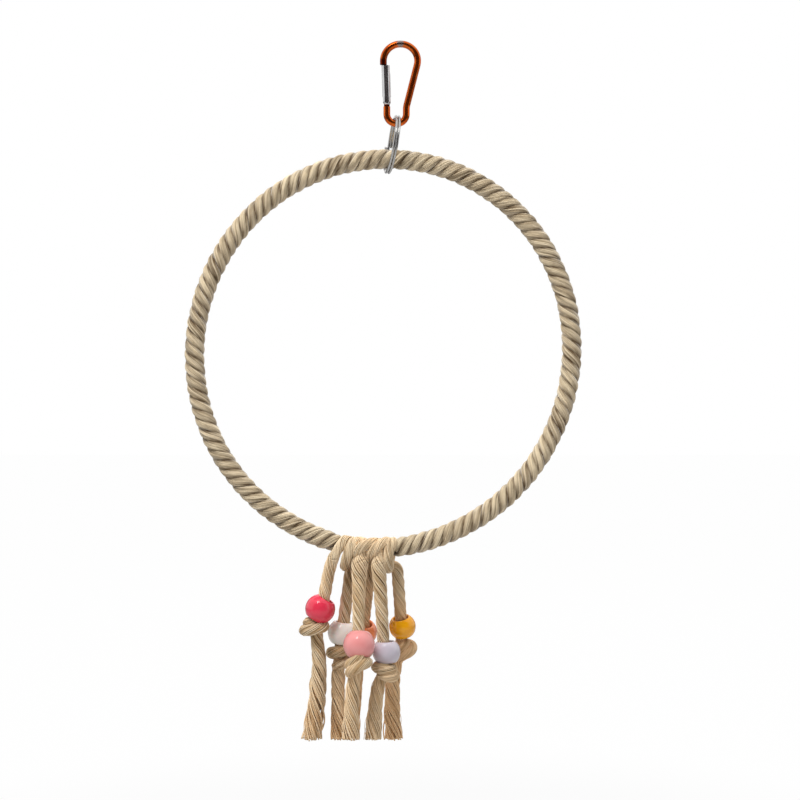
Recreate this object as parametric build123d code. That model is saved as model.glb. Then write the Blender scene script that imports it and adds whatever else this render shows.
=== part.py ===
from build123d import *
import math
import os

# A hanging swing for a cage bird: a carabiner, a split ring, a rope hoop to perch on,
# and a tassel of three hitched cords with beads. Sizes in millimetres, angles in degrees.
# +Z is up and the front faces -Y. The origin is where a cage wire sits under the carabiner's top bend.

# Carabiner body: a round rod bent wide at the top and narrow at the foot
carabiner_length = 36.4
rod_dia = 2.9
eye_radius = 7.2
eye_offset = 0.3
spine_ease = 8.0
foot_radius = 4.1
foot_straight = 2.75
foot_offset = -1.35
bend_flat = 0.1
nose_straight = 1.5
tongue_thick = 1.2
tongue_root = 1.5

# Gate: a slotted tube that hinges on a rivet at its foot and latches on the nose with a cross pin
rivet_height = 9.25
gate_dia = 3.6
gate_inset = 1.0
nose_gap = 0.45
hinge_gap = 0.35
cheek_width = 3.1
cheek_height = 1.9
slot_width = 1.5
slot_clear = 0.4
hinge_eye_radius = 1.6
hinge_neck_width = 2.4
rivet_dia = 1.0
rivet_clear = 0.05
rivet_head_dia = 1.8
rivet_head_thick = 0.4
latch_pin_dia = 1.0
latch_pin_length = 3.2
latch_inset = 1.6
latch_clear = 0.15
latch_lip = 0.35
latch_hook_back = 1.75
latch_hook_tip = 1.3

# Spring and plunger inside the gate
bore_dia = 1.9
spring_clear = 0.1
spring_wall = 0.35
bore_end_wall = 1.6
plunger_length = 2.0
plunger_gap = 0.1

# Split ring: two turns of flat wire
ring_inner_dia = 21.2
ring_wire_depth = 1.5
ring_wire_width = 0.9
ring_turn_gap = 0.45
ring_turns = 2
ring_tilt = 8.0
ring_yaw = 8.0
seat_gap = 0.6

# Hoop: a rope laid round a steel wire ring, slightly oval, its long way leaning to the right.
# The rope's two ends stop short of each other at the bottom and leave the wire bare for the cords.
hoop_inner_width = 150.0
hoop_inner_height = 156.0
hoop_lean = 16.0
hoop_seat_angle = 1.0
rope_dia = 8.4
core_dia = 2.5
core_clear = 0.1
rope_gap = 24.8

# Hitches: each cord takes a round turn over the bare wire, and its two legs hang in front and behind
hitch_count = 3
hitch_angle = -3.5
hitch_pitch = 7.9
hitch_clear = 0.5
hitch_cord_dia = 3.1
hitch_spread = 4.3
hitch_stub = 6.5

# Cord legs, and the beads and knots on them
cord_dia = 5.4
leg_lead = 9.0
corner_share = 0.45
bead_bore = 6.4
bead_round = 0.5
bead_gap = 0.3
knot_half = 3.4
knot_flat_radius = 3.2
knot_belly_radius = 5.2
knot_end_spare = 0.4
knot_turn_dia = 4.0
knot_turn_radius = 3.7
knot_turn_tilt = 24.0
tail_end_dia = 9.0
tail_drop = 81.6

# Each bead's size, as they are not all alike
bead_dias = {"red": 12.6, "white": 12.2, "pink": 13.2, "orange": 11.8, "lavender": 11.8, "yellow": 11.4}

# Each leg's hitch from the left, its side (-1 front, 1 back), and its route below the hitch
# as offsets from the tassel's pivot: the knot's centre, and the tail's end at the tail_drop level
legs = {
    "red": (0, -1, (-24.9, -2.2, -34.2), (-23.6, -2.2)),
    "white": (0, 1, (-12.2, 4.8, -46.1), (-13.7, 4.6)),
    "pink": (1, -1, (-3.8, -13.8, -49.5), (-7.0, -12.8)),
    "orange": (1, 1, (-3.5, 19.0, -45.9), (-7.4, 16.4)),
    "lavender": (2, -1, (8.1, -2.9, -53.1), (2.1, -3.0)),
    "yellow": (2, 1, (15.9, 11.3, -43.2), (10.3, 10.4)),
}
hitch_names = ("left", "mid", "right")
gap_steps = 400

# Worked-out sizes and places
rod_r = rod_dia / 2
gate_r = gate_dia / 2
rope_r = rope_dia / 2
cord_r = cord_dia / 2
latch_pin_r = latch_pin_dia / 2
nose_x = eye_offset - eye_radius
nose_z = rod_r - eye_radius - nose_straight
foot_z = rod_r - (carabiner_length - rod_dia)
foot_left = foot_offset - foot_radius
foot_right = foot_offset + foot_radius
rivet_place = Vector(foot_left, 0, foot_z + rivet_height)
gate_run = Vector(nose_x + gate_inset, 0, nose_z) - rivet_place
gate_up = gate_run.normalized()
gate_reach = gate_run.length - nose_gap
gate_plane = Plane(rivet_place, x_dir=(gate_up.Z, 0, -gate_up.X), z_dir=gate_up)
latch_height = gate_reach - latch_inset
latch_slot_floor = latch_height - latch_hook_tip - slot_clear
hinge_slot_top = hinge_eye_radius + slot_clear
plunger_low = hinge_eye_radius + plunger_gap
spring_low = plunger_low + plunger_length
spring_high = latch_slot_floor - bore_end_wall

# The split ring's frame: local X is its axis, local Z points up through its two seats
ring_up = Vector(math.sin(math.radians(ring_tilt)), 0, math.cos(math.radians(ring_tilt)))
ring_flat_axis = Vector(ring_up.Z, 0, -ring_up.X)
ring_axis = (ring_flat_axis * math.cos(math.radians(ring_yaw))
             + Vector(0, 1, 0) * math.sin(math.radians(ring_yaw)))
ring_pitch = ring_wire_width + ring_turn_gap
ring_inner_r = ring_inner_dia / 2
ring_mean_r = ring_inner_r + ring_wire_depth / 2
foot_seat = Vector(foot_offset, 0, foot_z)
ring_centre = foot_seat + ring_up * (rod_r + seat_gap - ring_inner_r)
ring_plane = Plane(ring_centre, x_dir=ring_axis, z_dir=ring_up)

# The hoop's centreline is four tangent arcs: two end arcs and two flatter side arcs.
# Their centres make a 3-4-5 triangle with the hoop's centre, so the arcs stay tangent at any size.
hoop_half_width = hoop_inner_width / 2 + rope_r
hoop_stretch = (hoop_inner_height - hoop_inner_width) / 2
side_shift = 1.5 * hoop_stretch
end_shift = 2 * hoop_stretch
end_radius = hoop_half_width - hoop_stretch
side_radius = hoop_half_width + side_shift
join_angle = math.degrees(math.atan2(2, 1.5))
lean = math.radians(hoop_lean)
hoop_long = Vector(math.sin(lean), 0, math.cos(lean))
seat_tip = Vector(math.sin(math.radians(hoop_seat_angle)), 0, math.cos(math.radians(hoop_seat_angle)))
rope_seat = ring_centre - ring_up * (ring_inner_r - rope_r - seat_gap) - ring_flat_axis * (ring_pitch / 2)
hoop_centre = rope_seat - hoop_long * end_shift - seat_tip * end_radius
hoop_plane = Plane(hoop_centre, x_dir=(math.cos(lean), 0, -math.sin(lean)), z_dir=(0, -1, 0))
bottom_centre = hoop_centre - hoop_long * end_shift

# The hitches' frames: local X runs along the hoop's tube, local Z points up
hitch_step = math.degrees(hitch_pitch / end_radius)
wrap_radius = core_dia / 2 + hitch_clear + hitch_cord_dia / 2


def hitch_plane(index):
    turn = math.radians(hitch_angle + (index - (hitch_count - 1) / 2) * hitch_step)
    out = Vector(math.sin(turn), 0, -math.cos(turn))
    return Plane(bottom_centre + out * end_radius, x_dir=(math.cos(turn), 0, math.sin(turn)), z_dir=-out)


mid_hitch = hitch_plane((hitch_count - 1) / 2)
hitch_sagitta = end_radius * (1 - math.cos(math.radians(hitch_step)))
tassel_pivot = mid_hitch.origin + mid_hitch.z_dir * (hitch_sagitta / 2)


def rounded(vector):
    return tuple(round(value, 5) for value in vector)


def tube(path, section):
    return sweep(Plane(path @ 0, z_dir=path % 0) * section, path=path)


def across(radius, length):
    # A round bar along Y
    return Rot(90, 0, 0) * Cylinder(radius, length)


def upright_bar(radius, low, high):
    # A round bar on the Z axis between two heights
    return Pos(0, 0, (low + high) / 2) * Cylinder(radius, high - low)


def upright_box(width, depth, low, high):
    # A box centred on X and Y between two heights
    return Pos(0, 0, (low + high) / 2) * Box(width, depth, high - low)


def nose_hook():
    # A thin hook under the nose, with a notch open to the inside for the gate's cross pin
    width = latch_hook_back + latch_lip
    hook = Pos(-(latch_hook_back - latch_lip) / 2, 0, 0) * upright_box(
        width, tongue_thick, latch_height - latch_hook_tip, gate_reach + nose_gap + tongue_root)
    notch_r = latch_pin_r + latch_clear
    hook -= Pos(0, 0, latch_height) * across(notch_r, 2 * tongue_thick)
    hook -= Pos(width / 2, 0, latch_height) * Box(width, 2 * tongue_thick, 2 * notch_r)
    return gate_plane * hook


def hinge_tongue():
    # A flat tongue that stands on the rod's end and holds the rivet
    drop = gate_r + hinge_gap + tongue_root
    tongue = across(hinge_eye_radius, tongue_thick)
    tongue += upright_box(hinge_neck_width, tongue_thick, -drop, 0)
    tongue -= across(rivet_dia / 2, 2 * tongue_thick)
    return Pos(rivet_place) * tongue


def make_carabiner_body():
    # The spine runs straight from the foot, tangent to the eye's bend
    spine_end = foot_z + foot_radius + foot_straight
    to_eye = Vector(eye_offset - foot_right, rod_r - eye_radius - spine_end)
    spine = math.atan2(to_eye.X, to_eye.Y) + math.asin(eye_radius / to_eye.length)
    top_right = eye_offset + eye_radius * math.tan((math.pi / 2 + spine) / 2)
    corners = [(nose_x, nose_z), (nose_x, rod_r), (top_right, rod_r), (foot_right, spine_end),
               (foot_right, foot_z), (foot_left, foot_z),
               (foot_left, rivet_place.Z - gate_r - hinge_gap)]
    bends = [eye_radius - bend_flat, eye_radius - bend_flat, spine_ease,
             foot_radius - bend_flat, foot_radius - bend_flat]
    path = FilletPolyline(*[(x, 0, z) for x, z in corners], radius=bends)
    return tube(path, Circle(rod_r)) + nose_hook() + hinge_tongue()


def make_gate():
    gate = upright_bar(gate_r, 0, gate_reach) + Sphere(gate_r)
    for side in (-1, 1):
        cheek_cut = Box(2 * gate_dia, gate_dia, 2 * cheek_height)
        gate -= Pos(0, side * (cheek_width + gate_dia) / 2, 0) * cheek_cut
    gate -= upright_box(2 * gate_dia, slot_width, -gate_dia, hinge_slot_top)
    gate -= upright_box(2 * gate_dia, slot_width, latch_slot_floor, gate_dia + gate_reach)
    gate -= across(rivet_dia / 2 + rivet_clear, gate_dia)
    gate -= Pos(0, 0, latch_height) * across(latch_pin_r, gate_dia)
    gate -= upright_bar(bore_dia / 2, hinge_eye_radius, spring_high)
    return gate_plane * gate


def make_gate_rivet():
    rivet = across(rivet_dia / 2, cheek_width + 2 * rivet_clear)
    for side in (-1, 1):
        head_place = side * (cheek_width / 2 + rivet_clear + rivet_head_thick / 2)
        rivet += Pos(0, head_place, 0) * across(rivet_head_dia / 2, rivet_head_thick)
    return Pos(rivet_place) * rivet


def make_latch_pin():
    return gate_plane * Pos(0, 0, latch_height) * across(latch_pin_r, latch_pin_length)


def make_plunger():
    plunger = upright_bar(bore_dia / 2 - spring_clear, plunger_low, spring_low)
    plunger = chamfer(plunger.faces().sort_by(Axis.Z)[0].edges(), spring_wall)
    return gate_plane * plunger


def make_gate_spring():
    # Shut inside the gate's bore, so a plain sleeve of the coil's size
    outer = bore_dia / 2 - spring_clear
    sleeve = upright_bar(outer, spring_low, spring_high)
    sleeve -= upright_bar(outer - spring_wall, spring_low, spring_high)
    return gate_plane * sleeve


def coil_gap(path, section_size, far):
    # Least gap between stretches of the coil that lie at least far along it
    points = [path @ (i / gap_steps) for i in range(gap_steps + 1)]
    skip = int(far / path.length * gap_steps)
    return min((a - b).length for i, a in enumerate(points) for b in points[i + skip:]) - section_size


def make_split_ring():
    # Half turns that start at the back and run over the top, each a half circle in a leaning plane
    half_pitch = ring_pitch / 2
    lean_radius = math.hypot(ring_mean_r, half_pitch / 2)
    first = half_pitch * (ring_turns - 0.5)
    arcs = []
    for turn in range(2 * ring_turns):
        side = 1 if turn % 2 == 0 else -1
        here = first - turn * half_pitch
        start = (here, side * ring_mean_r, 0)
        top = (here - half_pitch / 2, 0, side * lean_radius)
        end = (here - half_pitch, -side * ring_mean_r, 0)
        arcs.append(ThreePointArc(start, top, end))
    path = Wire(arcs)
    section_plane = Plane(path @ 0, x_dir=(1, 0, 0), z_dir=path % 0)
    print("split ring, least gap between turns:", round(coil_gap(path, ring_wire_width, ring_mean_r), 3))
    wire = sweep(section_plane * Ellipse(ring_wire_width / 2, ring_wire_depth / 2), path=path)
    return ring_plane * wire


def hoop_path(gap):
    # Once round the hoop from the bottom, counter-clockwise, leaving a gap between the two ends
    half_gap = math.degrees(gap / 2 / end_radius)
    cut = 270 + hoop_lean + hitch_angle
    side_sweep = 2 * join_angle
    end_sweep = 180 - side_sweep
    first_end = 360 - join_angle
    last_start = 180 + join_angle
    arcs = [
        CenterArc((0, -end_shift), end_radius, cut + half_gap, first_end - cut - half_gap),
        CenterArc((-side_shift, 0), side_radius, -join_angle, side_sweep),
        CenterArc((0, end_shift), end_radius, join_angle, end_sweep),
        CenterArc((side_shift, 0), side_radius, 180 - join_angle, side_sweep),
        CenterArc((0, -end_shift), end_radius, last_start, cut - half_gap - last_start),
    ]
    return hoop_plane * Wire(arcs)


def make_hoop_core():
    return tube(hoop_path(0), Circle(core_dia / 2))


def make_hoop_rope():
    return tube(hoop_path(rope_gap), Circle(rope_r) - Circle(core_dia / 2 + core_clear))


def make_hitch(index):
    # Up the front, over, down the back, under to the right, up the front again, over, and down the back
    side = hitch_spread / 2
    under = math.hypot(wrap_radius, side)
    front, back = -wrap_radius, wrap_radius
    edges = [
        Line((-side, front, -hitch_stub), (-side, front, 0)),
        ThreePointArc((-side, front, 0), (-side, 0, wrap_radius), (-side, back, 0)),
        ThreePointArc((-side, back, 0), (0, 0, -under), (side, front, 0)),
        ThreePointArc((side, front, 0), (side, 0, wrap_radius), (side, back, 0)),
        Line((side, back, 0), (side, back, -hitch_stub)),
    ]
    path = Wire(edges)
    if index == 0:
        print("hitch, least gap to itself:", round(coil_gap(path, hitch_cord_dia, 2 * wrap_radius), 3))
    return hitch_plane(index) * tube(path, Circle(hitch_cord_dia / 2))


def leg_points(name):
    # The leg's start under its hitch, its bend, its knot's centre and its tail's end
    index, side, knot_offset, tail_offset = legs[name]
    plane = hitch_plane(index)
    start = plane.from_local_coords(Vector(side * hitch_spread / 2, side * wrap_radius, -hitch_stub))
    bend = start - plane.z_dir * leg_lead
    knot = tassel_pivot + Vector(knot_offset)
    end = tassel_pivot + Vector(*tail_offset, -tail_drop)
    return start, bend, knot, end


def make_cord(name):
    # The straight-hanging leg from the hitch through the bead to the knot, with one easy bend
    start, bend, knot, end = leg_points(name)
    down = (knot - bend).normalized()
    knot_top = knot - down * knot_half
    turn = math.radians((bend - start).get_angle(down))
    radius = corner_share * min(leg_lead, (knot_top - bend).length) / math.tan(turn / 2)
    path = FilletPolyline(start, bend, knot_top, radius=[radius])
    cord = tube(path, Circle(cord_r))
    fill = cord.volume / (math.pi * cord_r ** 2 * path.length)
    print(f"cord {name}: length {path.length:.1f}, bend radius {radius:.1f}, "
          f"volume over section times length {fill:.4f}")
    return cord


def make_bead(name):
    start, bend, knot, end = leg_points(name)
    up = (bend - knot).normalized()
    bead_r = bead_dias[name] / 2
    bore_r = bead_bore / 2
    bead_half = math.sqrt(bead_r ** 2 - bore_r ** 2)
    rim = ThreePointArc((bore_r, bead_half), (bead_r, 0), (bore_r, -bead_half))
    outline = make_face([rim, Line((bore_r, -bead_half), (bore_r, bead_half))])
    outline = fillet(outline.vertices(), bead_round)
    bead = revolve(Plane.XZ * outline, Axis.Z)
    place = knot + up * (knot_half + bead_gap + bead_half)
    print(f"bead {name}: centre {rounded(place)} slides along {rounded(up)}")
    return Plane(place, z_dir=up) * bead


def make_knot(name):
    # A barrel with one turn of cord slanting round it, cut flat where the leg and the tail meet it
    start, bend, knot, end = leg_points(name)
    up = (bend - knot).normalized()
    down = (end - knot).normalized()
    half = knot_half + knot_end_spare
    side = ThreePointArc((knot_flat_radius, half), (knot_belly_radius, 0), (knot_flat_radius, -half))
    outline = Polyline((knot_flat_radius, -half), (0, -half), (0, half), (knot_flat_radius, half))
    barrel = revolve(Plane.XZ * make_face([side, outline]), Axis.Z)
    wrapped = barrel + Rot(0, knot_turn_tilt, 0) * Torus(knot_turn_radius, knot_turn_dia / 2)
    wrapped = Plane(knot, z_dir=up) * wrapped
    wrapped = split(wrapped, bisect_by=Plane(knot + up * knot_half, z_dir=up), keep=Keep.BOTTOM)
    return split(wrapped, bisect_by=Plane(knot + down * knot_half, z_dir=down), keep=Keep.BOTTOM)


def make_tail(name):
    # The loose end, opening out towards its level cut
    start, bend, knot, end = leg_points(name)
    down = (end - knot).normalized()
    top = knot + down * knot_half
    length = (end - top).length + tail_end_dia / 2
    cone = Pos(0, 0, length / 2) * Cone(cord_r, tail_end_dia / 2, length)
    tail = Plane(top, z_dir=down) * cone
    return split(tail, bisect_by=Plane(end, z_dir=(0, 0, 1)), keep=Keep.TOP)


parts = {
    "carabiner_body": make_carabiner_body(),
    "carabiner_gate": make_gate(),
    "gate_rivet": make_gate_rivet(),
    "gate_latch_pin": make_latch_pin(),
    "gate_spring": make_gate_spring(),
    "spring_plunger": make_plunger(),
    "split_ring": make_split_ring(),
    "hoop_core": make_hoop_core(),
    "hoop_rope": make_hoop_rope(),
}
for index, place in enumerate(hitch_names):
    parts["hitch_" + place] = make_hitch(index)
for name in legs:
    parts["cord_" + name] = make_cord(name)
    parts["bead_" + name] = make_bead(name)
    parts["knot_" + name] = make_knot(name)
    parts["tail_" + name] = make_tail(name)

for label, place in (("gate rivet", rivet_place), ("foot seat", foot_seat), ("rope seat", rope_seat),
                     ("tassel pivot", tassel_pivot), ("along the tube", mid_hitch.x_dir),
                     ("hoop centre", hoop_centre)):
    print(label, rounded(place))

os.makedirs("parts", exist_ok=True)
for node, shape in parts.items():
    export_step(shape, f"parts/{node}.step")
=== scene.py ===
# %% [markdown]
# A bird swing, dressed for its picture.
# A small carabiner and a split ring carry a rope hoop, and three cotton cords hang from the hoop
# with six beads. The solids in the frame give the sizes and places; this lesson lays the yarns around
# them, finishes the beads and the metal, and winds the split ring. Lengths are in metres.

# %% Load the frame
import math

import bmesh
import bpy
import numpy as np
from mathutils import Matrix, Vector


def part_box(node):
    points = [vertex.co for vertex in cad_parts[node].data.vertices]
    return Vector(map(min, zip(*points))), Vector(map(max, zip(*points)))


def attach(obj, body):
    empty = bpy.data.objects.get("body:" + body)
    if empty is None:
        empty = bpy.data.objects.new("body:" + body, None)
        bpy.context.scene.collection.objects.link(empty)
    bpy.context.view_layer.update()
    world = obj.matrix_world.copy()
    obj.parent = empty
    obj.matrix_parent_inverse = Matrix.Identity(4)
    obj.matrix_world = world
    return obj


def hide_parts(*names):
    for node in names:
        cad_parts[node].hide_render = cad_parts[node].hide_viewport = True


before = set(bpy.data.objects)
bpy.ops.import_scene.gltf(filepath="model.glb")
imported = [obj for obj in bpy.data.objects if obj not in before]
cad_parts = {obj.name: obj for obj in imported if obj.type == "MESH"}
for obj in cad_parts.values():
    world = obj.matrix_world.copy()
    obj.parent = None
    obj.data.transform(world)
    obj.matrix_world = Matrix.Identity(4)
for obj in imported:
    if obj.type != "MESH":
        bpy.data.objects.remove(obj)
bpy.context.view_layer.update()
MM = 0.001

# %% [markdown]
# The camera looks straight at the swing from the front, from far enough away that the hoop keeps
# its shape. A long lens does that. The middle of the view lies a little below the hoop's middle,
# because the tassel hangs lower than the carabiner stands up.

# %% Camera
LENS = 85.0
SENSOR = 36.0
VIEW_WIDTH = 0.337
VIEW_CENTRE = Vector((0.0001, 0, -0.1485))
camera_data = bpy.data.cameras.new("camera")
camera_data.lens = LENS
camera_data.sensor_width = SENSOR
camera = bpy.data.objects.new("camera", camera_data)
camera.location = VIEW_CENTRE + Vector((0, -VIEW_WIDTH * LENS / SENSOR, 0))
camera.rotation_euler = (math.radians(90), 0, 0)
bpy.context.collection.objects.link(camera)
bpy.context.scene.camera = camera
bpy.context.scene.view_settings.view_transform = "Standard"
print("camera stands at", tuple(round(value, 3) for value in camera.location))

# %% [markdown]
# Shader sums are easier to read as Python sums. This class wraps one socket of a node tree: adding,
# scaling or raising it makes the Math nodes, and its methods make the other nodes that the finishes use.


# %% Shader sums
class Socket:
    """A socket of a node tree. Sums on it add Math nodes."""

    def __init__(self, tree, socket=None):
        self.tree = tree
        self.socket = socket

    def node(self, kind, settings=None, sockets=None, output=0):
        made = self.tree.nodes.new(kind)
        for name, value in (settings or {}).items():
            setattr(made, name, value)
        for name, value in (sockets or {}).items():
            self.feed(made.inputs[name], value)
        return Socket(self.tree, made.outputs[output])

    def feed(self, target, value):
        if isinstance(value, Socket):
            self.tree.links.new(value.socket, target)
        else:
            target.default_value = value

    def beside(self, name):
        """Another output of the same node"""
        return Socket(self.tree, self.socket.node.outputs[name])

    def sum(self, operation, first, second):
        return self.node("ShaderNodeMath", {"operation": operation}, {0: first, 1: second})

    def mix(self, factor, first, second, blend="MIX"):
        settings = {"data_type": "RGBA", "blend_type": blend}
        return self.node("ShaderNodeMix", settings, {0: factor, 6: first, 7: second}, output=2)

    def ramp(self, factor, *stops):
        """A colour that follows the factor from stop to stop, each a place and a colour"""
        made = self.node("ShaderNodeValToRGB", None, {"Fac": factor})
        elements = made.socket.node.color_ramp.elements
        while len(elements) < len(stops):
            elements.new(0.5)
        for element, (place, colour) in zip(elements, stops):
            element.position = place
            element.color = (*colour, 1)
        return made

    def rise(self, value, first, last, low=0.0, high=1.0, course="LINEAR"):
        """Goes from low to high while the value goes from first to last, and stays level beyond"""
        return self.node("ShaderNodeMapRange", {"interpolation_type": course}, {
            "Value": value, "From Min": first, "From Max": last, "To Min": low, "To Max": high})

    def place(self):
        return self.node("ShaderNodeTexCoord", output="Object")

    def distance(self, place, middle):
        return self.node("ShaderNodeVectorMath", {"operation": "DISTANCE"}, {0: place, 1: middle}, "Value")

    def noise(self, place, scale, detail):
        sockets = {"Vector": place, "Scale": scale, "Detail": detail}
        return self.node("ShaderNodeTexNoise", None, sockets, "Fac")

    def bump(self, height, strength, distance):
        sockets = {"Height": height, "Strength": strength, "Distance": distance}
        return self.node("ShaderNodeBump", None, sockets)

    def __add__(self, other):
        return self.sum("ADD", self, other)

    def __sub__(self, other):
        return self.sum("SUBTRACT", self, other)

    def __mul__(self, other):
        return self.sum("MULTIPLY", self, other)

    def __pow__(self, other):
        return self.sum("POWER", self, other)

    __radd__ = __add__


def new_finish(name, constants):
    """A material with one Principled shader, and its even values set on the shader's own sockets"""
    material = bpy.data.materials.new(name)
    material.use_nodes = True
    shader = material.node_tree.nodes["Principled BSDF"]
    for socket, value in constants.items():
        shader.inputs[socket].default_value = value
    return material, shader, Socket(material.node_tree)


def srgb(red, green, blue):
    """A colour given in display values from 0 to 255, as the linear values that shaders take"""
    def linear(value):
        value /= 255
        return value / 12.92 if value <= 0.04045 else ((value + 0.055) / 1.055) ** 2.4
    return linear(red), linear(green), linear(blue)


print("shader sums ready")

# %% [markdown]
# The studio is a pale floor well under the hanging swing, in white surroundings. White light from every
# side would wash out the yarns, so the world glows white only where the camera, a mirror or glass looks
# at it, and lights the swing weakly. The floor glows for the camera alone, to look as white as the
# surroundings, and glows less under the swing, where it keeps the swing's shadow.

# %% Surroundings and floor
WORLD_LIGHT = 0.23
FLOOR_LEVEL = -0.345
FLOOR_HALF_WIDTH = 6
FLOOR_GREY = 0.5
# How much of the floor's look is glow: under the swing, where its shadow falls, and away from it
SHADOW_GLOW = 0.88
SHADOW_REACH = 0.12
FLOOR_GLOW = 0.988
FLOOR_GLOW_REACH = 0.3


def mesh_object(name, shape, material):
    """Makes an object of a bmesh, with one material"""
    mesh = bpy.data.meshes.new(name)
    shape.to_mesh(mesh)
    shape.free()
    mesh.materials.append(material)
    made = bpy.data.objects.new(name, mesh)
    bpy.context.collection.objects.link(made)
    return made


def seen_directly(tree):
    """1 where the camera, a reflection or a refraction looks, 0 for the light that falls on things"""
    path = tree.node("ShaderNodeLightPath")
    shown = tree.sum("MAXIMUM", path.beside("Is Camera Ray"), path.beside("Is Glossy Ray"))
    return tree.sum("MAXIMUM", shown, path.beside("Is Transmission Ray"))


def make_world():
    world = bpy.data.worlds.new("white_surroundings")
    bpy.context.scene.world = world
    world.use_nodes = True
    tree = Socket(world.node_tree)
    background = world.node_tree.nodes["Background"]
    background.inputs["Color"].default_value = (1, 1, 1, 1)
    tree.feed(background.inputs["Strength"], seen_directly(tree) * (1 - WORLD_LIGHT) + WORLD_LIGHT)


def make_floor():
    under_swing = Vector((0, 0, FLOOR_LEVEL))
    shape = bmesh.new()
    bmesh.ops.create_grid(shape, x_segments=1, y_segments=1, size=FLOOR_HALF_WIDTH,
                          matrix=Matrix.Translation(under_swing))
    material, shader, tree = new_finish("pale_floor", {
        "Base Color": (FLOOR_GREY, FLOOR_GREY, FLOOR_GREY, 1), "Roughness": 0.9})
    glow = tree.node("ShaderNodeEmission", None, {"Color": (1, 1, 1, 1), "Strength": 1.0})
    matt = Socket(tree.tree, shader.outputs[0])
    in_view = tree.node("ShaderNodeLightPath", output="Is Camera Ray")
    away = tree.distance(tree.place(), under_swing)
    glow_share = tree.rise(away, SHADOW_REACH, FLOOR_GLOW_REACH, SHADOW_GLOW, FLOOR_GLOW, "SMOOTHSTEP")
    blend = tree.node("ShaderNodeMixShader", None, {0: in_view * glow_share, 1: matt, 2: glow})
    tree.feed(material.node_tree.nodes["Material Output"].inputs["Surface"], blend)
    mesh_object("floor", shape, material)


make_world()
make_floor()
print("floor lies at", FLOOR_LEVEL)

# %% [markdown]
# A large soft lamp hangs above and to the left, a weaker one stands on each side, and one behind lights
# the edges. Glossy things mirror none of these, only a small weak lamp that puts a glint on them. A wide
# dark card behind the camera gives round metal its dark stripe, and two narrow ones far behind the swing
# give it dark edges, as in any catalogue picture of bright metal.

# %% Lamps and dark cards
LAMP_AIM = Vector((0, 0, -0.16))


def make_lamp(name, place, size, watts, mirrored=False):
    light = bpy.data.lights.new(name, "AREA")
    light.shape = "DISK"
    light.size = size
    light.energy = watts
    lamp = bpy.data.objects.new(name, light)
    lamp.location = place
    lamp.rotation_euler = (LAMP_AIM - Vector(place)).to_track_quat("-Z", "Y").to_euler()
    lamp.visible_glossy = mirrored
    bpy.context.collection.objects.link(lamp)


def make_dark_card(width, height, place):
    shape = bmesh.new()
    bmesh.ops.create_grid(shape, x_segments=1, y_segments=1, size=0.5)
    bmesh.ops.scale(shape, vec=(width, height, 1), verts=shape.verts)
    bmesh.ops.rotate(shape, matrix=Matrix.Rotation(math.radians(90), 3, "X"), verts=shape.verts)
    bmesh.ops.translate(shape, vec=place, verts=shape.verts)
    material = new_finish("dark_cloth", {"Base Color": (0.07, 0.06, 0.06, 1), "Roughness": 1.0})[0]
    card = mesh_object("dark_card", shape, material)
    card.visible_camera = False
    card.visible_diffuse = False
    card.visible_shadow = False


make_lamp("key_lamp", (-0.4, -0.5, 1.0), size=0.75, watts=14.0)
make_lamp("glint_lamp", (-0.35, -0.65, 0.95), size=0.4, watts=2.6, mirrored=True)
make_lamp("left_fill_lamp", (-0.85, -0.75, 0.0), size=0.6, watts=1.5)
make_lamp("right_fill_lamp", (0.8, -0.85, 0.1), size=0.6, watts=2.0)
make_lamp("edge_lamp", (0.2, 0.6, 0.7), size=0.5, watts=9.0)
make_dark_card(width=3.1, height=2.4, place=(0, -0.95, -0.1))
for side in (-0.54, 0.54):
    make_dark_card(width=0.4, height=1.6, place=(side, 0.9, -0.1))
print("studio lit")

# %% [markdown]
# The tassel is three cotton cords. The hoop's rope stops short at the bottom and leaves its wire bare,
# and each cord goes round that wire at its middle, so its two halves hang as legs, one in front and one
# behind. The route of a leg is a few points, the ones that its solid follows, moved a little
# where the real cord leans.

# %% Routes of the legs
# Each leg: its start under the hitch, its bend, its knot's centre, the top of its tail and the tail's end.
# The leg that sweeps out to the left has one more point above its bead, and the right one at the top of
# its arch.
LEGS = {
    "red": ((-0.0282, -0.0050, -0.2148), (-0.0303, -0.0036, -0.2230), (-0.0316, -0.0029, -0.2312),
            (-0.0358, -0.0023, -0.2437), (-0.0327, -0.0022, -0.2620), (-0.0369, -0.0022, -0.2908)),
    "white": ((-0.0203, 0.0033, -0.2182), (-0.0216, 0.0036, -0.2262),
              (-0.0255, 0.0048, -0.2558), (-0.0264, 0.0047, -0.2680), (-0.0258, 0.0046, -0.2920)),
    "pink": ((-0.0166, -0.0052, -0.2160), (-0.0172, -0.0048, -0.2253),
             (-0.0171, -0.0138, -0.2592), (-0.0200, -0.0133, -0.2665), (-0.0203, -0.0128, -0.2890)),
    "orange": ((-0.0120, 0.0035, -0.2166), (-0.0132, 0.0037, -0.2256),
               (-0.0168, 0.0190, -0.2556), (-0.0184, 0.0180, -0.2650), (-0.0207, 0.0164, -0.2930)),
    "lavender": ((-0.0090, -0.0052, -0.2162), (-0.0083, -0.0044, -0.2250),
                 (-0.0060, -0.0029, -0.2630), (-0.0100, -0.0030, -0.2690), (-0.0113, -0.0030, -0.2907)),
    "yellow": ((-0.0056, 0.0044, -0.2203), (-0.0012, 0.0052, -0.2180), (-0.0006, 0.0044, -0.2262),
               (0.0015, 0.0113, -0.2541), (-0.0042, 0.0108, -0.2660), (-0.0028, 0.0104, -0.2930)),
}
# Each cord's front and back leg
HITCHES = {"left": ("red", "white"), "mid": ("pink", "orange"), "right": ("lavender", "yellow")}
print("legs:", ", ".join(LEGS))
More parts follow.
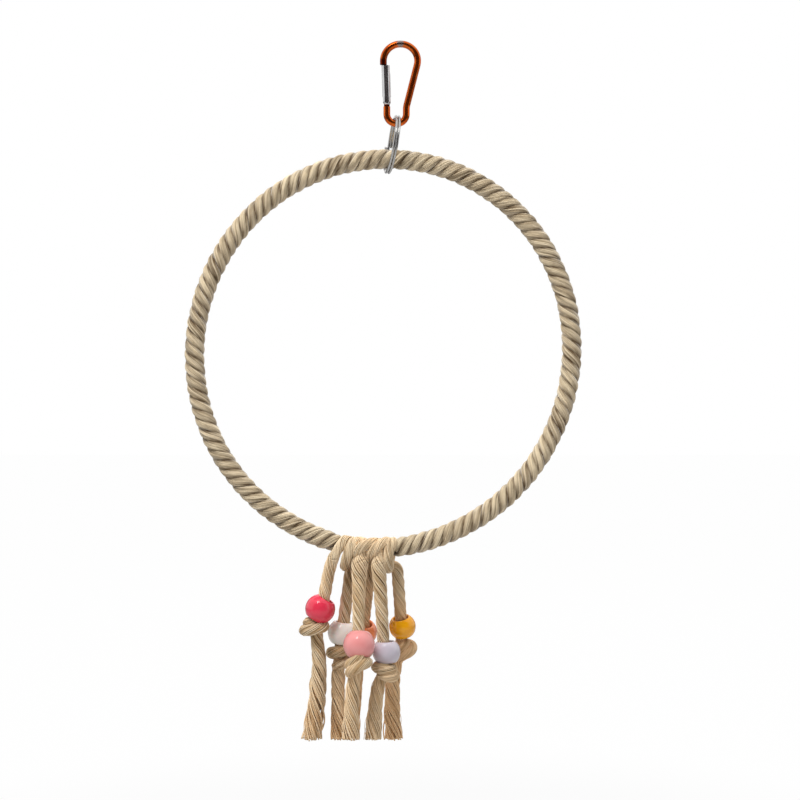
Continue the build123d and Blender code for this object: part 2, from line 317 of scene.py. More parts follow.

# %% [markdown]
# Round the wire a cord could run as a plain helix, but a hitch tied by hand pulls in tight over the top
# and hangs loose below. So its turns are listed, at equal steps of angle from the front over the
# top: how far out the cord's middle lies, and how far along the wire it has moved.

# %% Turns round the wire
END_RADIUS = 0.0762
TUBE_BOTTOM = Vector((-0.013305, 0, -0.209948))
HITCH_TILT = math.radians(-3.5)
HITCH_PITCH = 0.0079
HITCH_STEP = 30
# In millimetres, with a row to each full turn
HITCH_REACH = {
    "left": (3.6, 2.4, 1.0, 0.8, 1.8, 3.2, 4.4, 6.8, 9.4, 10.2, 7.8, 5.2,
             3.8, 2.4, 1.0, 0.9, 2.4, 3.6),
    "mid": (3.6, 2.4, 1.0, 0.8, 1.8, 3.2, 3.9, 4.4, 4.7, 5.0, 5.5, 5.8,
            5.0, 2.8, 1.2, 1.0, 2.4, 3.6),
    "right": (3.6, 2.4, 1.0, 0.8, 1.8, 3.2, 3.9, 4.4, 4.7, 5.0, 5.5, 5.8,
              5.2, 3.2, 1.3, 1.0, 2.2, 3.4, 4.4, 6.4, 9.0, 10.2, 7.8, 5.4,
              4.2, 2.8, 1.2, 1.0, 2.4, 3.6),
}
HITCH_SHIFT = {
    "left": (-2.8, -1.5, -0.2, 0.4, 0.6, 0.4, 0.2, 0.0, -0.2, -0.4, -0.2, 0.4,
             1.4, 2.6, 4.0, 5.0, 4.6, 3.0),
    "mid": (-2.6, -2.2, -1.6, -1.4, -1.8, -2.4, -3.0, -3.6, -4.2, -4.8, -5.0, -4.4,
            -0.4, 3.0, 4.0, 3.8, 3.2, 2.4),
    "right": (-3.2, -2.6, -1.8, -1.4, -1.8, -2.6, -3.8, -5.0, -6.2, -7.6, -7.6, -6.0,
              -2.8, 0.2, 1.6, 2.2, 2.4, 2.5, 2.0, 1.2, 0.4, 0.0, 0.2, 0.7,
              2.0, 2.4, 2.6, 2.7, 2.6, 2.2),
}


def hitch_turns(place, step):
    """The turns over the wire, from the front leg to the back one"""
    def outward(turn):
        return Vector((math.sin(turn), 0, -math.cos(turn)))
    turn = HITCH_TILT + step * HITCH_PITCH / END_RADIUS
    middle = TUBE_BOTTOM + END_RADIUS * (outward(turn) - outward(HITCH_TILT))
    along, up = Vector((math.cos(turn), 0, math.sin(turn))), -outward(turn)
    points = []
    for index, (reach, shift) in enumerate(zip(HITCH_REACH[place], HITCH_SHIFT[place])):
        angle = math.radians(HITCH_STEP * (index + 0.5))
        round_wire = Vector((0, -math.cos(angle), 0)) + up * math.sin(angle)
        points.append(middle + (along * shift + round_wire * reach) * MM)
    return points


hitch_routes = {place: hitch_turns(place, step - 1) for step, place in enumerate(HITCHES)}
for place, points in hitch_routes.items():
    print(f"{place} hitch: {len(points) * HITCH_STEP / 360:.1f} turns")

# %% [markdown]
# A cord could be swept as one smooth tube, but cotton cord shows its plies and yarns. So only its middle
# line is drawn here: a smooth spline with the route as its control points, read off point by point.
# Everything on the cord is then laid along that line.

# %% Middle lines of the cords
CORD_SPACING = 0.55 * MM
LINE_RESOLUTION = 64


def read_line(route, spacing):
    """Points read from a smooth spline with the route as its control points, at least a spacing apart"""
    curve = bpy.data.curves.new("middle_line", "CURVE")
    curve.dimensions = "3D"
    curve.resolution_u = LINE_RESOLUTION
    spline = curve.splines.new("NURBS")
    spline.points.add(len(route) - 1)
    for point, place in zip(spline.points, route):
        point.co = (*place, 1)
    spline.order_u = 3
    spline.use_endpoint_u = True
    carrier = bpy.data.objects.new("middle_line", curve)
    mesh = bpy.data.meshes.new_from_object(carrier)
    read = [vertex.co.copy() for vertex in mesh.vertices]
    bpy.data.objects.remove(carrier)
    bpy.data.meshes.remove(mesh)
    kept = read[:1]
    for point in read:
        if (point - kept[-1]).length >= spacing:
            kept.append(point)
    return np.array(kept)


def nearest(line, place):
    return int(np.argmin(np.linalg.norm(line - np.array(place), axis=1)))


def distance_along(line):
    return np.concatenate(([0], np.cumsum(np.linalg.norm(np.diff(line, axis=0), axis=1))))


cord_lines = {}
for place, (front, back) in HITCHES.items():
    route = list(reversed(LEGS[front])) + hitch_routes[place] + list(LEGS[back])
    cord_lines[place] = read_line(route, CORD_SPACING)

# %% [markdown]
# A cord is plies twisted together, and each ply is a bundle of yarns twisted the other way, which is
# what keeps it from untwisting. So a yarn is a helix on a helix. The next helper carries a frame along
# a line without twisting it, and lays every yarn around it, over a core that fills each ply. Plies press
# each other flat, so a ply is wider across than it is deep. A yarn also remembers how deep it lies,
# because the finish paints shade into the grooves between plies, darker and browner than the crowns.

# %% Laying yarns
# How unevenly yarns lie: their shift round the ply, their reach from its middle and their thickness
YARN_SHIFT = (-0.15, 0.15)
YARN_REACH = (0.92, 1.04)
YARN_THICKNESS = (0.85, 1.1)
# How far a yarn thins or fattens with its cord
YARN_SPREAD = (0.7, 1.08)


def carried_frame(line, side):
    """The line's direction at each point, and two directions across it that don't twist"""
    along = np.gradient(line, axis=0)
    along /= np.linalg.norm(along, axis=1, keepdims=True)
    sides = []
    for direction in along:
        side = side - direction * np.dot(side, direction)
        side = side / np.linalg.norm(side)
        sides.append(side)
    sides = np.array(sides)
    return along, sides, np.cross(along, sides)


def around(first, second, angle):
    return first * np.cos(angle)[:, None] + second * np.sin(angle)[:, None]


def lay_yarns(line, across, phase, lay, spread, seed):
    """Middle lines of a cord's cores and yarns, their radii, and how far out each point lies (0 to 1)"""
    along, side, other = across
    draws = np.random.default_rng(seed)
    slope = np.gradient(phase) / np.gradient(distance_along(line))
    ply_offset = lay["ply_offset"] * spread
    yarn_offset = lay["yarn_offset"] * spread
    paths, sizes, depths = [], [], []
    for ply in range(lay["plies"]):
        out = around(side, other, phase + 2 * math.pi * ply / lay["plies"])
        lead = along + np.cross(along, out) * (ply_offset * slope)[:, None]
        lead /= np.linalg.norm(lead, axis=1, keepdims=True)
        over = np.cross(lead, out) * lay["widen"]
        middle = line + out * ply_offset[:, None]
        paths.append(middle)
        sizes.append(lay["core_radius"] * spread)
        depths.append(np.zeros(len(line)))
        for yarn in range(lay["yarns"]):
            start = 2 * math.pi * (yarn + draws.uniform(*YARN_SHIFT)) / lay["yarns"]
            reach = yarn_offset * draws.uniform(*YARN_REACH)
            path = middle + around(out, over, start - lay["counter"] * phase) * reach[:, None]
            paths.append(path)
            sizes.append(lay["yarn_radius"] * np.clip(spread, *YARN_SPREAD) * draws.uniform(*YARN_THICKNESS))
            far = np.linalg.norm(path - line, axis=1) / (ply_offset + yarn_offset)
            depths.append(np.clip(far, 0, 1))
    return paths, sizes, depths


print("yarn helpers ready")

# %% [markdown]
# Hundreds of yarns as separate objects would be slow to handle, so the yarns of a piece become one mesh.
# A bevelled curve gives each yarn its thickness, and every point keeps its yarn's shade, its depth and
# its place along the yarn as attributes, which the finish reads.


# %% Spinning a piece
def spin_piece(name, paths, sizes, depths, finish, seed):
    """One mesh of many thin yarns, with each yarn's own shade, depth and length kept as attributes"""
    draws = np.random.default_rng(seed)
    curve = bpy.data.curves.new(name, "CURVE")
    curve.dimensions = "3D"
    curve.bevel_depth = 1.0
    curve.bevel_resolution = 0
    for path, size in zip(paths, sizes):
        spline = curve.splines.new("POLY")
        spline.points.add(len(path) - 1)
        spline.points.foreach_set("co", np.column_stack((path, np.ones(len(path)))).ravel())
        spline.points.foreach_set("radius", size)
    carrier = bpy.data.objects.new(name, curve)
    mesh = bpy.data.meshes.new_from_object(carrier)
    bpy.data.objects.remove(carrier)
    bpy.data.curves.remove(curve)
    ring = len(mesh.vertices) // sum(len(path) for path in paths)
    values = {
        "shade": [np.full(len(path), draws.uniform()) for path in paths],
        "depth": depths,
        "along": [distance_along(path) for path in paths],
    }
    for key, lists in values.items():
        attribute = mesh.attributes.new(key, "FLOAT", "POINT")
        attribute.data.foreach_set("value", np.repeat(np.concatenate(lists), ring))
    shape = bmesh.new()
    shape.from_mesh(mesh)
    bmesh.ops.holes_fill(shape, edges=[edge for edge in shape.edges if edge.is_boundary], sides=0)
    shape.to_mesh(mesh)
    shape.free()
    mesh.name = name
    mesh.materials.append(finish)
    piece = bpy.data.objects.new(name, mesh)
    bpy.context.collection.objects.link(piece)
    return piece


print("spinning helper ready")

# %% [markdown]
# Raw cotton is a warm beige that is never even: each yarn has its own shade, the grooves between plies
# get painted shade, darker and browner than the crowns, with a little dirt, and the fibres run along the
# yarn as fine streaks. The streaks follow the yarn's own length and its UV round it. The legs at the back
# get painted light, paler and warmer where the front legs shade them, the frayed tails are a lighter,
# warmer tan, and the hitches are painted paler, as lit from above. The hoop's rope is combed smoother
# than the cords, so its yarns differ less. The soft bloom of cotton is a little sheen, which is even and
# so is set on the shader itself.

# %% Cotton finish
FIBRES_ALONG = 420
FIBRES_ROUND = 5
# Moves the streaks from yarn to yarn, so that no two yarns have the same
FIBRES_APART = (90, 37)
BLOTCH_SCALE = 95.0
STAIN_SCALE = 48.0
# Where on its noise a stain starts and is full, how far it tans, and the tan colour's share in full tan
STAIN_RANGE = (0.45, 0.75)
STAIN_TAN = 0.5
TAN_SHARE = 0.5
# At which tones the cotton has its groove, middle and crown colours
TONE_STOPS = (0.0, 0.45, 0.9)
# How much each of these lifts the cotton's tone from groove to crown
# Painted shade: the deeper a yarn lies, the nearer its colour comes to the dark groove colour
DEPTH_LIFT = 0.85
DEPTH_CURVE = 5
FIBRE_LIFT = 0.6
SHADE_LIFT = 0.3
BLOTCH_LIFT = 0.35
# What a yarn's shade multiplies its colour with, from the darkest yarn to the palest
YARN_SHADES = ((0.0, (0.70, 0.64, 0.56)), (0.5, (0.95, 0.93, 0.90)), (1.0, (1.0, 1.0, 1.0)))


def cotton(name, crown, middle, groove, tan, uneven, bloom, places=()):
    material, shader, tree = new_finish(name, {
        "Roughness": 0.92, "Specular IOR Level": 0.2, "Sheen Weight": bloom, "Sheen Roughness": 0.45,
    })
    shade, depth, along = (tree.node("ShaderNodeAttribute", {"attribute_name": kept}, output="Fac")
                           for kept in ("shade", "depth", "along"))
    round_yarn = tree.node("ShaderNodeSeparateXYZ", None, {0: tree.node("ShaderNodeUVMap")}, "Y")
    place = tree.place()
    fibres = tree.noise(tree.node("ShaderNodeCombineXYZ", None, {
        "X": along * FIBRES_ALONG, "Y": round_yarn * FIBRES_ROUND + shade * FIBRES_APART[0],
        "Z": shade * FIBRES_APART[1]}), scale=1.0, detail=3.0)
    blotches = tree.noise(place, BLOTCH_SCALE, detail=2.0)
    stain = tree.noise(place, STAIN_SCALE, detail=1.0)
    streaks = ((fibres - 0.5) * FIBRE_LIFT + (shade - 0.5) * SHADE_LIFT) * uneven
    # The depth term paints shade into the grooves between plies
    lift = depth ** DEPTH_CURVE * DEPTH_LIFT + streaks + (blotches - 0.5) * BLOTCH_LIFT
    stains_and_painted_light = tree.rise(stain, *STAIN_RANGE, high=STAIN_TAN)
    # Some places paint light: the back legs and the hitches grow paler and warmer, as if lit
    for axis, first, last, paler, warmer in places:
        reached = tree.node("ShaderNodeSeparateXYZ", None, {0: place}, axis)
        share = tree.rise(reached, first * MM, last * MM)
        lift = lift + share * paler
        stains_and_painted_light = stains_and_painted_light + share * warmer
    base = tree.ramp(lift, *zip(TONE_STOPS, (groove, middle, crown)))
    base = tree.mix(stains_and_painted_light, base, tree.mix(TAN_SHARE, base, (*tan, 1)))
    toned = tree.mix(uneven, base, tree.ramp(shade, *YARN_SHADES), "MULTIPLY")
    tree.feed(shader.inputs["Base Color"], toned)
    tree.feed(shader.inputs["Normal"], tree.bump(fibres, strength=0.8, distance=0.05 * MM))
    return material


# Where the cords change along an axis: from and to in millimetres, how much paler, how much warmer
# Painted light: the back legs, shaded by the front ones, are lifted paler and warmer
BACK_LEGS_PAINTED_LIGHT = ("Y", 1, 5, 0.45, 0.5)
TAILS = ("Z", -250, -275, 0.3, 0.4)
# Painted light: the hitches and the tops of the legs under them are paler, as lit from above
HITCH_TOP_PAINTED_LIGHT = ("Z", -224, -213, 0.35, 0.1)
# Each groove colour is painted shade for the grooves between plies, with a little dirt
cord_cotton = cotton("cord_cotton", crown=srgb(244, 225, 193), middle=srgb(206, 176, 134),
                     groove=srgb(96, 60, 32), tan=srgb(240, 180, 106), uneven=1.0, bloom=0.18,
                     places=(BACK_LEGS_PAINTED_LIGHT, TAILS, HITCH_TOP_PAINTED_LIGHT))
rope_cotton = cotton("rope_cotton", crown=srgb(232, 214, 182), middle=srgb(112, 92, 66),
                     groove=srgb(26, 18, 10), tan=srgb(124, 98, 66), uneven=0.55, bloom=0.6)
print("cotton finishes:", cord_cotton.name, rope_cotton.name)

# %% [markdown]
# A cord isn't equally wide all along: it is squeezed where it is hitched, fits its bead's hole, also
# as far up as the bead can slide, and opens out towards its tail. So its width is set at a few stations
# and runs evenly from one to the next.

# %% Widths of the cords
CORD_LAY = 19.0 * MM
CORD = {"plies": 4, "ply_offset": 1.25 * MM, "yarns": 12, "yarn_offset": 1.1 * MM, "widen": 1.25,
        "yarn_radius": 0.3 * MM, "core_radius": 0.85 * MM, "counter": 0.35}
HITCH_WIDTH = 0.85
BEAD_WIDTH = 1.02
IN_KNOT_WIDTH = 0.98
SLIDE_ROOM = 11 * MM
# Past its start the cord is squeezed to the hitch's width within a third of the way from bend to start
HITCH_TAPER = 3
# How wide each leg is at its tail's end, at its bend and at its top
LEG_WIDTHS = {
    "red": (1.66, 1.02, 1.0),
    "white": (1.3, 1.0, 1.0),
    "pink": (1.4, 1.18, 1.56),
    "orange": (1.3, 1.0, 1.0),
    "lavender": (1.4, 1.16, 1.34),
    "yellow": (1.6, 0.98, 0.95),
}


def leg_stations(line, name):
    """Places along the line, from the tail's end to the hitch, and how wide the cord is at each"""
    points = LEGS[name]
    low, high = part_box(f"bead_{name}")
    bead = (low + high) / 2
    above_bead = bead + Vector((0, 0, SLIDE_ROOM))
    places = [nearest(line, point)
              for point in (points[-1], points[-3], bead, above_bead, points[1], points[0])]
    bend, start = places[-2:]
    tail, low_leg, top = LEG_WIDTHS[name]
    widths = [tail, IN_KNOT_WIDTH, BEAD_WIDTH, BEAD_WIDTH, low_leg, top, HITCH_WIDTH]
    return places + [start + (start - bend) // HITCH_TAPER], widths


for place, names in HITCHES.items():
    for name in names:
        print(f"{name} leg: width set at points", leg_stations(cord_lines[place], name)[0])

# %% [markdown]
# Below its knot a cord loses its twist and frays, and its tail ends in a level cut with a few loose
# threads. Each loose thread follows one yarn of its cord, nearer to the middle or further out, and all
# yarns stray more the closer they come to the cut.

# %% Laying a cord
TAIL_TWIST = 0.5
STRAY = 0.8 * MM
STRAY_SHARE = (0.1, 1.0)
STRAY_CURVE = 1.5
SWAY_STEP = (-0.06, 0.06)
# How far a yarn's end is from the level cut, in millimetres
CUT_UNEVEN = (-0.3, 0.3)
CUT_CURVE = 2
LOOSE_THREADS = 36
LOOSE_RADIUS = 0.13 * MM
LOOSE_REACH = (0.5, 1.15)
LOOSE_DEPTH = 0.95
THREAD_SEED = 100
# In a tail the cores shrink, and all yarns come near to the same depth, so the painted groove shade fades
# there
CORE_SHRINK = 0.6
TAIL_DEPTH = 0.9
TAIL_DEPTH_SHARE = 0.85


def fray(paths, across, tails, draws):
    """Lets each yarn stray towards the cord's two ends, and brings the ends to their level cuts"""
    index = np.arange(len(paths[0]))
    loose = sum(tail for tail, name, end in tails)
    for path in paths:
        sway = around(across[1], across[2], draws.uniform(0, 2 * math.pi) + index * draws.uniform(*SWAY_STEP))
        path += sway * (loose ** STRAY_CURVE * STRAY * draws.uniform(*STRAY_SHARE))[:, None]
        for tail, name, end in tails:
            cut = LEGS[name][-1][2] + draws.uniform(*CUT_UNEVEN) * MM
            path[:, 2] += tail ** CUT_CURVE * (cut - path[end, 2])


def lay_cord(place, seed):
    """All the yarns of one cord along its whole line, with loose threads, and how the cord is cut up"""
    line = cord_lines[place]
    front, back = HITCHES[place]
    front_places, front_widths = leg_stations(line, front)
    back_places, back_widths = leg_stations(line, back)
    index = np.arange(len(line))
    spread = np.interp(index, front_places + back_places[::-1], front_widths + back_widths[::-1])
    front_tail = np.interp(index, (0, front_places[1]), (1, 0))
    back_tail = np.interp(index, (back_places[1], len(line) - 1), (0, 1))
    loose = front_tail + back_tail
    twist = 1 - (1 - TAIL_TWIST) * loose
    phase = -2 * math.pi / CORD_LAY * np.cumsum(twist * np.gradient(distance_along(line)))
    across = carried_frame(line, side=np.array((1.0, 0, 0)))
    paths, sizes, depths = lay_yarns(line, across, phase, CORD, spread, seed)
    for core in range(0, len(paths), CORD["yarns"] + 1):
        sizes[core] = sizes[core] * (1 - CORE_SHRINK * loose)
    depths = [depth + (TAIL_DEPTH - depth) * TAIL_DEPTH_SHARE * loose for depth in depths]
    draws = np.random.default_rng(seed + THREAD_SEED)
    for thread in range(LOOSE_THREADS):
        follow = draws.integers(len(paths))
        paths.append(line + (paths[follow] - line) * draws.uniform(*LOOSE_REACH))
        sizes.append(np.full(len(line), LOOSE_RADIUS))
        depths.append(np.full(len(line), LOOSE_DEPTH))
    fray(paths, across, ((front_tail, front, 0), (back_tail, back, -1)), draws)
    front_start, back_start = nearest(line, LEGS[front][0]), nearest(line, LEGS[back][0])
    cuts = {"hitch": slice(front_start, back_start + 1), front: slice(0, front_start + 1),
            back: slice(back_start, len(line))}
    threads = {front: slice(0, front_places[1]), back: slice(back_places[1], len(line))}
    return (paths, sizes, depths), cuts, threads


print("cord helper ready")

# %% [markdown]
# Now the cords are laid. Each keeps one twist from end to end, so the piece round the wire and the two
# hanging legs are cut from the same yarns, and their yarns meet where the pieces do.

# %% Cords, hitches and tails
for seed, (place, (front, back)) in enumerate(HITCHES.items()):
    rows, cuts, threads = lay_cord(place, seed)
    yarns = len(rows[0]) - LOOSE_THREADS
    for part, span in cuts.items():
        lists = [[values[span] for values in row[:yarns]] for row in rows]
        if part in threads:
            for kept, row in zip(lists, rows):
                kept += [values[threads[part]] for values in row[yarns:]]
        name = f"{place}_hitch_wound" if part == "hitch" else f"{part}_leg_and_tail"
        piece = spin_piece(name, *lists, cord_cotton, seed)
        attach(piece, "tassel")
        if part == "hitch":
            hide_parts(f"hitch_{place}")
        else:
            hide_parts(f"cord_{part}", f"tail_{part}")
            middle_line = cord_lines[place][span]
            middle_line if part == back else middle_line[::-1]
    print(place, "cord laid:", yarns, "yarns and cores")

# %% [markdown]
# Under each bead the cord is tied in an overhand knot. A solid knot would need the cord to pass through
# itself; from outside one sees a fat slanting turn that comes out from under the bead, goes round, and
# tucks in again above the tail. So each knot is one more length of the same cord, led round the leg on
# a spline, tighter at both ends where it disappears inside.

# %% Knots
KNOT_TURN = 3.7 * MM
KNOT_TUCK = 1.5 * MM
KNOT_TUCK_RATE = 5
KNOT_TUCK_CURVE = 0.6
KNOT_SWEEP = 600
KNOT_POINTS = 21
KNOT_SPACING = 0.5 * MM
KNOT_WIDTH = 0.94
KNOT_END_WIDTH = 0.7
KNOT_END_SHARE = 0.12
KNOT_SEED = 20
# Each knot's first direction round the leg in degrees, and in millimetres how steeply its turn slants, how
# high its middle lies and how far it climbs to each side
KNOTS = {
    "red": (250, 1.4, -0.2, 3.0),
    "white": (100, 0.2, -0.4, 5.0),
    "pink": (330, 1.5, 0.9, 2.6),
    "orange": (150, -1.2, 0.9, 2.1),
    "lavender": (60, -1.3, 0.9, 2.3),
    "yellow": (330, 0.8, -0.8, 3.2),
}


def knot_line(name):
    start, slant, lift, climb = KNOTS[name]
    above, knot = Vector(LEGS[name][-4]), Vector(LEGS[name][-3])
    up = (above - knot).normalized()
    right = (Vector((1, 0, 0)) - up * up.x).normalized()
    rear = up.cross(right)
    points = []
    for index in range(KNOT_POINTS):
        share = index / (KNOT_POINTS - 1)
        angle = math.radians(start - KNOT_SWEEP * share)
        tuck = min(1, KNOT_TUCK_RATE * min(share, 1 - share)) ** KNOT_TUCK_CURVE
        reach = KNOT_TUCK + (KNOT_TURN - KNOT_TUCK) * tuck
        height = (lift + climb * (1 - 2 * share) + slant * math.cos(angle)) * MM
        points.append(knot + (right * math.cos(angle) + rear * math.sin(angle)) * reach + up * height)
    return read_line(points, KNOT_SPACING)


for seed, name in enumerate(KNOTS, KNOT_SEED):
    line = knot_line(name)
    phase = -2 * math.pi / CORD_LAY * distance_along(line)
    across = carried_frame(line, side=np.array((0.1, 0.2, 1.0)))
    ends = np.interp(np.linspace(0, 1, len(line)), (0, KNOT_END_SHARE, 1 - KNOT_END_SHARE, 1),
                     (KNOT_END_WIDTH, 1, 1, KNOT_END_WIDTH))
    rows = lay_yarns(line, across, phase, CORD, KNOT_WIDTH * ends, seed)
    piece = spin_piece(f"{name}_knot_tied", *rows, cord_cotton, seed)
    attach(piece, "tassel")
    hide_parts(f"knot_{name}")

# %% [markdown]
# Each leg with its tail leaves its hitch, carries its bead and its knot, and ends bare.

# %% [markdown]
# The hoop is a slightly long oval that leans to one side. A plain circle would be simpler, but a rope
# hoop that hangs is never quite round. Its rope starts and ends beside the hitches, where it sags a
# little, and it also lies a little lower at the top, where it hangs in the split ring.

# %% Middle line of the hoop
HOOP_CENTRE = np.array((-0.006999, 0, -0.128122))
HOOP_LEAN = math.radians(16)
HOOP_SAMPLES = 3000
HALF_ACROSS = 0.0792
HALF_LONG = 0.0822
ROPE_START = 10.9 * MM
ROPE_END = 12.2 * MM
ROPE_STEP = 0.53 * MM
ROPE_SAG = 1.1 * MM
ROPE_SAG_REACH = 24 * MM
TOP_SAG = 0.9 * MM
TOP_SAG_REACH = 75 * MM

across_hoop = np.array((math.cos(HOOP_LEAN), 0, -math.sin(HOOP_LEAN)))
along_hoop = np.array((math.sin(HOOP_LEAN), 0, math.cos(HOOP_LEAN)))
full_turn = np.linspace(0, 2 * math.pi, HOOP_SAMPLES)
oval = (HOOP_CENTRE + np.outer(np.sin(full_turn), across_hoop * HALF_ACROSS)
        - np.outer(np.cos(full_turn), along_hoop * HALF_LONG))
oval = np.roll(oval[:-1], -nearest(oval[:-1], TUBE_BOTTOM), axis=0)
reached = distance_along(oval)
steps = np.arange(ROPE_START, reached[-1] - ROPE_END, ROPE_STEP)
hoop_line = np.column_stack([np.interp(steps, reached, oval[:, axis]) for axis in range(3)])
near_bottom = np.minimum(steps, reached[-1] - steps)
hoop_line[:, 2] -= ROPE_SAG * np.exp(-(near_bottom / ROPE_SAG_REACH) ** 2)
hoop_line[:, 2] -= TOP_SAG * np.exp(-((reached[-1] / 2 - near_bottom) / TOP_SAG_REACH) ** 2)
print(f"hoop rope: {distance_along(hoop_line)[-1] / MM:.0f} mm long")

# %% [markdown]
# The rope has three strands, laid left-handed round a wire. A twisted tube with a groove pattern would look
# smooth, so the strands are laid of yarns, as the cords are. The yarns in a strand are twisted a little the
# other way, so they run nearly along the grooves. At both ends the rope is drawn in a little on the wire.

# %% Hoop rope
ROPE_LAY = 13.7 * MM
ROPE = {"plies": 3, "ply_offset": 2.16 * MM, "yarns": 22, "yarn_offset": 1.67 * MM, "widen": 1.18,
        "yarn_radius": 0.42 * MM, "core_radius": 1.4 * MM, "counter": 0.45}
ROPE_END_WIDTH = 0.86
ROPE_END_REACH = 4 * MM
ROPE_SEED = 7
STRAND_SEED = 40

hoop_frame = carried_frame(hoop_line, side=np.array((0.0, 1.0, 0)))
from_end = np.minimum(steps - steps[0], steps[-1] - steps)
drawn_in = np.interp(from_end, (0, ROPE_END_REACH), (ROPE_END_WIDTH, 1))
rows = lay_yarns(hoop_line, hoop_frame, -2 * math.pi / ROPE_LAY * steps, ROPE, drawn_in, ROPE_SEED)
for strand in range(ROPE["plies"]):
    own = slice(strand * (ROPE["yarns"] + 1), (strand + 1) * (ROPE["yarns"] + 1))
    lists = [values[own] for values in rows]
    piece = spin_piece(f"hoop_strand_{strand + 1}", *lists, rope_cotton, strand + STRAND_SEED)
    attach(piece, "hoop")
    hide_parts("hoop_rope")
    print(piece.name, "faces:", len(piece.data.polygons))

# %% [markdown]
# The beads are moulded plastic. The solids already have their true shape, a ball with a bored hole and
# a rounded rim, so they keep it and only get a finish: a colour that clouds a little, as plastic does,
# light that goes a short way in, and a gloss with faint handling marks. The milky bead lets more through.

# %% Bead finishes
# Noise keeps near its middle, so a second colour takes over within this span of it
NOISE_SPAN = (0.3, 0.7)
CLOUD_SCALE = 190.0
MARK_SCALE = 1400.0
MARK_ROUGHNESS = 0.18
MARK_HEIGHT = 0.3


def moulded_plastic(name, colour, cloud, depth_in, gloss):
    material, shader, tree = new_finish(name, {
        "Subsurface Weight": depth_in, "Subsurface Radius": (1.0, 0.6, 0.5), "Subsurface Scale": 1.2 * MM,
        "Coat Weight": 0.45, "Coat Roughness": 0.06, "IOR": 1.46,
    })
    place = tree.place()
    clouds = tree.noise(place, CLOUD_SCALE, detail=3.0)
    marks = tree.noise(place, MARK_SCALE, detail=4.0)
    height = clouds + marks * MARK_HEIGHT
    tree.feed(shader.inputs["Base Color"], tree.ramp(clouds, *zip(NOISE_SPAN, (cloud, colour))))
    tree.feed(shader.inputs["Roughness"], gloss + (marks - 0.5) * MARK_ROUGHNESS)
    tree.feed(shader.inputs["Normal"], tree.bump(height, strength=0.15, distance=0.02 * MM))
    return material


# Each bead's colour and its cloud, how far light goes in and how rough its gloss is
BEADS = {
    "red": (srgb(232, 58, 84), srgb(224, 52, 78), 0.08, 0.18),
    "white": (srgb(252, 246, 240), srgb(246, 238, 232), 0.5, 0.16),
    "pink": (srgb(240, 160, 157), srgb(234, 150, 148), 0.08, 0.18),
    "orange": (srgb(255, 160, 112), srgb(252, 148, 98), 0.12, 0.18),
    "lavender": (srgb(206, 198, 208), srgb(198, 189, 200), 0.1, 0.16),
    "yellow": (srgb(255, 178, 4), srgb(250, 168, 2), 0.08, 0.18),
}
for name, look in BEADS.items():
    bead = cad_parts[f"bead_{name}"]
    bead.material_slots[0].material = moulded_plastic(f"{name}_plastic", *look)
print("beads finished:", ", ".join(BEADS))

# %% [markdown]
# The carabiner is drawn aluminium rod, dyed orange by anodising: still a mirror-like metal, but one
# that only returns orange light. It has a grey patch at the top of its bend, and painted shade, a deep
# maroon, on the nose and at the hinge. The gate is bare metal, the rivet, pins and spring are steel, and
# the hoop's wire is near black, painted shade where it shows between the hitches and the rope. Faint drawing
# lines run along the metal.

# %% Metal finishes
TONE_SCALE = 260.0
DRAWN_SCALE = (900.0, 900.0, 90.0)
LINE_ROUGHNESS = 0.1
TONE_ROUGHNESS = 0.08
# A patch's ragged edge and its soft inner edge, as shares of its reach, and how much it covers
PATCH_RAGGED = 0.8
PATCH_CORE = 0.6
PATCH_COVER = 0.9


def bright_metal(name, colour, deep, roughness, patches=()):
    material, shader, tree = new_finish(name, {"Metallic": 1.0})
    place = tree.place()
    tone = tree.noise(place, TONE_SCALE, detail=3.0)
    drawn_place = tree.node("ShaderNodeMapping", None, {"Vector": place, "Scale": DRAWN_SCALE})
    lines = tree.noise(drawn_place, scale=1.0, detail=2.0)
    base = tree.ramp(tone, *zip(NOISE_SPAN, (deep, colour)))
    for middle, reach, patch_colour in patches:
        away = tree.distance(place, middle) + (tone - 0.5) * PATCH_RAGGED * reach
        share = tree.rise(away, reach, PATCH_CORE * reach, course="SMOOTHSTEP")
        base = tree.mix(share * PATCH_COVER, base, (*patch_colour, 1))
    uneven = (lines - 0.5) * LINE_ROUGHNESS
    tree.feed(shader.inputs["Base Color"], base)
    tree.feed(shader.inputs["Roughness"], roughness + uneven + (tone - 0.5) * TONE_ROUGHNESS)
    tree.feed(shader.inputs["Normal"], tree.bump(lines, strength=0.05, distance=0.01 * MM))
    return material


# A grey patch at the top of the bend, and painted shade, a deep maroon, on the nose and at the hinge
MAROON_PAINTED_SHADE = srgb(104, 26, 12)
# A grey patch at the top of the bend
GREY_PATCH = (Vector((0.3, -1.0, 1.4)) * MM, 1.9 * MM, (0.3, 0.27, 0.25))
NOSE = (Vector((-7.0, 0, -6.6)) * MM, 3.4 * MM, MAROON_PAINTED_SHADE)
HINGE = (Vector((-5.2, 0, -24.2)) * MM, 1.9 * MM, MAROON_PAINTED_SHADE)
steel = bright_metal("bright_steel", (0.58, 0.57, 0.55), (0.46, 0.45, 0.44), 0.18)
NODE_METALS = {
    "carabiner_body": bright_metal("orange_anodised", srgb(224, 112, 44), srgb(200, 84, 28), 0.2,
                                   (GREY_PATCH, NOSE, HINGE)),
    "carabiner_gate": bright_metal("gate_nickel", (0.66, 0.66, 0.66), (0.54, 0.54, 0.55), 0.16),
    "gate_rivet": steel,
    "gate_latch_pin": steel,
    "gate_spring": steel,
    "spring_plunger": steel,
    # Near black: painted shade, so that where the wire shows between the hitches and the rope it looks shaded
    "hoop_core": bright_metal("dark_wire", (0.11, 0.095, 0.08), (0.06, 0.05, 0.045), 0.5),
}
for node, finish in NODE_METALS.items():
    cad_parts[node].material_slots[0].material = finish
print("metal finished:", ", ".join(NODE_METALS))

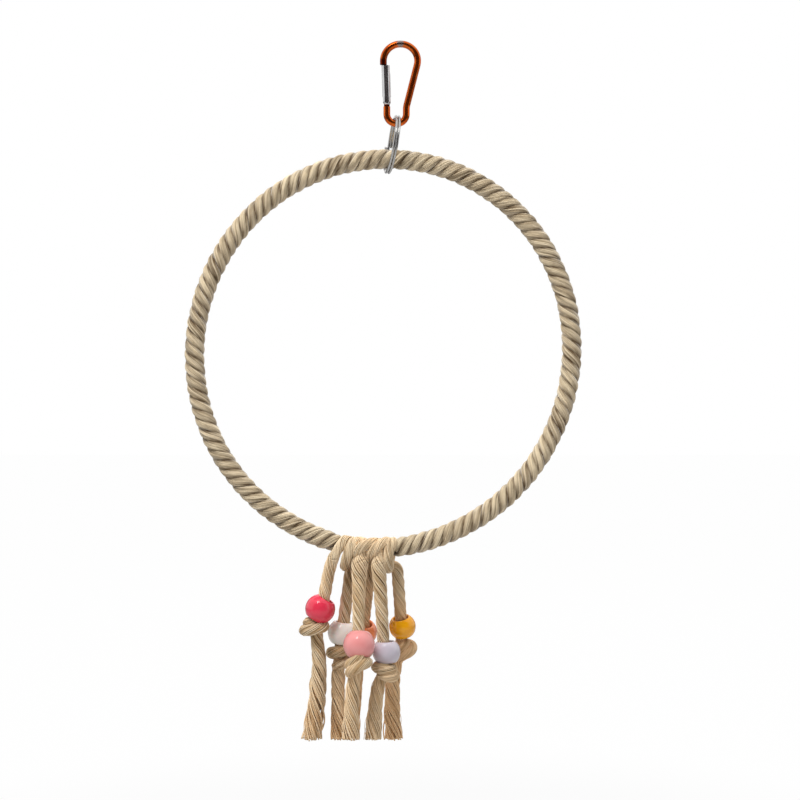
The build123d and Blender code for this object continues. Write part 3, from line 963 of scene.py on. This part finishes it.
# %% [markdown]
# The split ring is flattened steel wire wound twice, with its turns pressed together. Two plain rings would
# lack its step and its cut ends. One section of wire, spun twice round while it moves sideways, makes the
# whole coil, and its two cut ends are filled.

# %% Split ring
RING_SECTION = (0.55 * MM, 0.75 * MM)
RING_SIDES = 14
RING_RADIUS = 11.75 * MM
RING_PITCH = 1.16 * MM
RING_DROP = 0.4 * MM
RING_STEPS = 96
RING_TILT = math.radians(8)
RING_YAW = math.radians(8)
# A slanting direction along which no two corners of the ring are level
RING_ORDER = Vector((0.31, 0.87, 0.53))
ring_low, ring_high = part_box("split_ring")
ring_middle = (ring_low + ring_high) / 2 - Vector((0, 0, RING_DROP))
ring_up = Vector((math.sin(RING_TILT), 0, math.cos(RING_TILT)))
ring_axis = Vector((ring_up.z, 0, -ring_up.x)) * math.cos(RING_YAW) + Vector((0, 1, 0)) * math.sin(RING_YAW)
ring_back = ring_up.cross(ring_axis)

shape = bmesh.new()
section = bmesh.ops.create_circle(shape, segments=RING_SIDES, radius=1.0)["verts"]
bmesh.ops.scale(shape, vec=(*RING_SECTION, 1), verts=section)
place = Matrix((ring_axis, ring_back, ring_up)).transposed().to_4x4()
place.translation = ring_middle + ring_back * RING_RADIUS + ring_axis * RING_PITCH
bmesh.ops.transform(shape, matrix=place, verts=section)
bmesh.ops.spin(shape, geom=section + shape.edges[:], cent=ring_middle, axis=ring_axis, angle=4 * math.pi,
               steps=2 * RING_STEPS, dvec=ring_axis * (-RING_PITCH / RING_STEPS))
bmesh.ops.holes_fill(shape, edges=[edge for edge in shape.edges if edge.is_boundary], sides=0)
bmesh.ops.recalc_face_normals(shape, faces=shape.faces)
# Spinning lists its corners, edges and faces in any order, so they are sorted to be the same each time
shape.verts.sort(key=lambda corner: corner.co.dot(RING_ORDER))
shape.edges.sort(key=lambda edge: (edge.verts[0].co + edge.verts[1].co).dot(RING_ORDER))
shape.faces.sort(key=lambda face: face.calc_center_median().dot(RING_ORDER))
for face in shape.faces:
    face.smooth = len(face.verts) == 4
split_ring = mesh_object("split_ring_wound", shape, steel)
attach(split_ring, "ring")
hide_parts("split_ring")
print("split ring faces:", len(split_ring.data.polygons))
